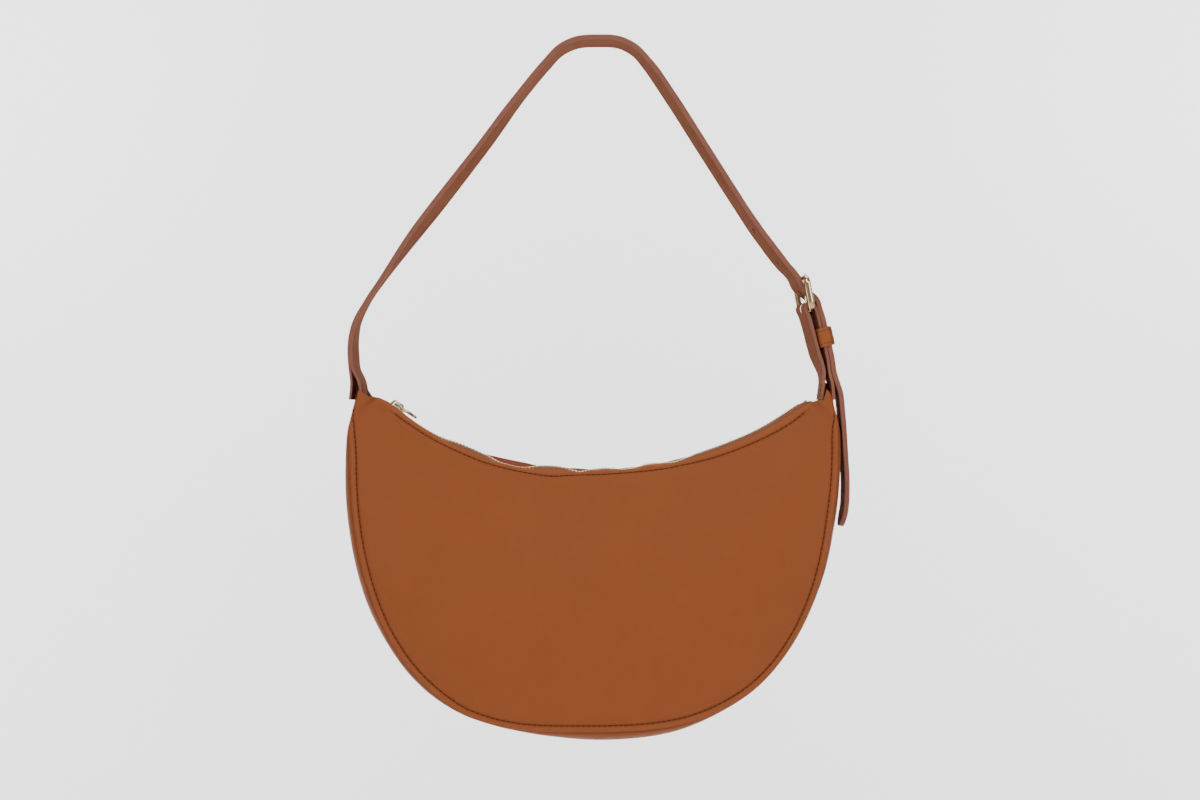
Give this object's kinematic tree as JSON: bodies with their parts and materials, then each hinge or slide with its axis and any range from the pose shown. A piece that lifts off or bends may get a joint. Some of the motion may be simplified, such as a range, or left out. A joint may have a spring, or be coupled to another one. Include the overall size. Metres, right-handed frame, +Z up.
{
  "type": "half moon shoulder bag",
  "caption": "Half moon shoulder bag in smooth tan leather with a curved zip mouth, hanging from a buckled shoulder strap.",
  "frame": {"origin": "underside of the strap at its top, where the strap lies on a hook or a shoulder", "axes": "+Z up, +X to the side of the buckle, -Y to the front"},
  "size_m": [0.3056, 0.0556, 0.4269],
  "materials": {
    "leather": "smooth, fine grain",
    "strap_leather": "smooth, with painted edges",
    "keeper_leather": "smooth",
    "lining": "plain cloth",
    "tape": "woven tape",
    "gold_metal": "polished pale gold plating"
  },
  "bodies": {
    "bag": {"front_panel": "leather", "back_panel": "leather", "gusset": "leather", "lining_front": "lining", "lining_back": "lining", "lining_gusset": "lining", "zip_tape_front": "tape", "zip_tape_back": "tape", "zip_teeth_front": "gold_metal", "zip_teeth_back": "gold_metal", "zip_top_stops": "gold_metal", "zip_bottom_stop": "gold_metal", "strap_outer": "strap_leather", "strap_inner": "strap_leather", "buckle_chape": "strap_leather"},
    "slider": {"zip_slider": "gold_metal"},
    "pull": {"zip_pull": "gold_metal"},
    "buckle": {"buckle_frame": "gold_metal"},
    "prong": {"buckle_prong": "gold_metal"},
    "keeper": {"keeper_loop": "keeper_leather"}
  },
  "joints": [
    {"name": "zip_run", "type": "hinge", "parent": "bag", "child": "slider", "pos_m": [-0.0035, 0, -0.04001], "axis": [0, -1, 0], "range_deg": [0, 67], "deforming": ["zip_teeth_front", "zip_teeth_back"]},
    {"name": "pull_swing", "type": "hinge", "parent": "slider", "child": "pull", "pos_m": [-0.12345, 0, -0.22013], "axis": [0, -1, 0], "range_deg": [0, 150]},
    {"name": "buckle_tilt", "type": "hinge", "parent": "bag", "child": "buckle", "pos_m": [0.127, 0, -0.1621], "axis": [-0.1736, 0.9848, 0], "range_deg": [0, 2]},
    {"name": "prong_lift", "type": "hinge", "parent": "buckle", "child": "prong", "pos_m": [0.127, 0, -0.1621], "axis": [-0.1736, 0.9848, 0], "range_deg": [0, 1.5]},
    {"name": "keeper_slide", "type": "slide", "parent": "bag", "child": "keeper", "axis": [0.2299, 0.0405, -0.9724], "range_m": [-0.004, 0.006]}
  ]
}
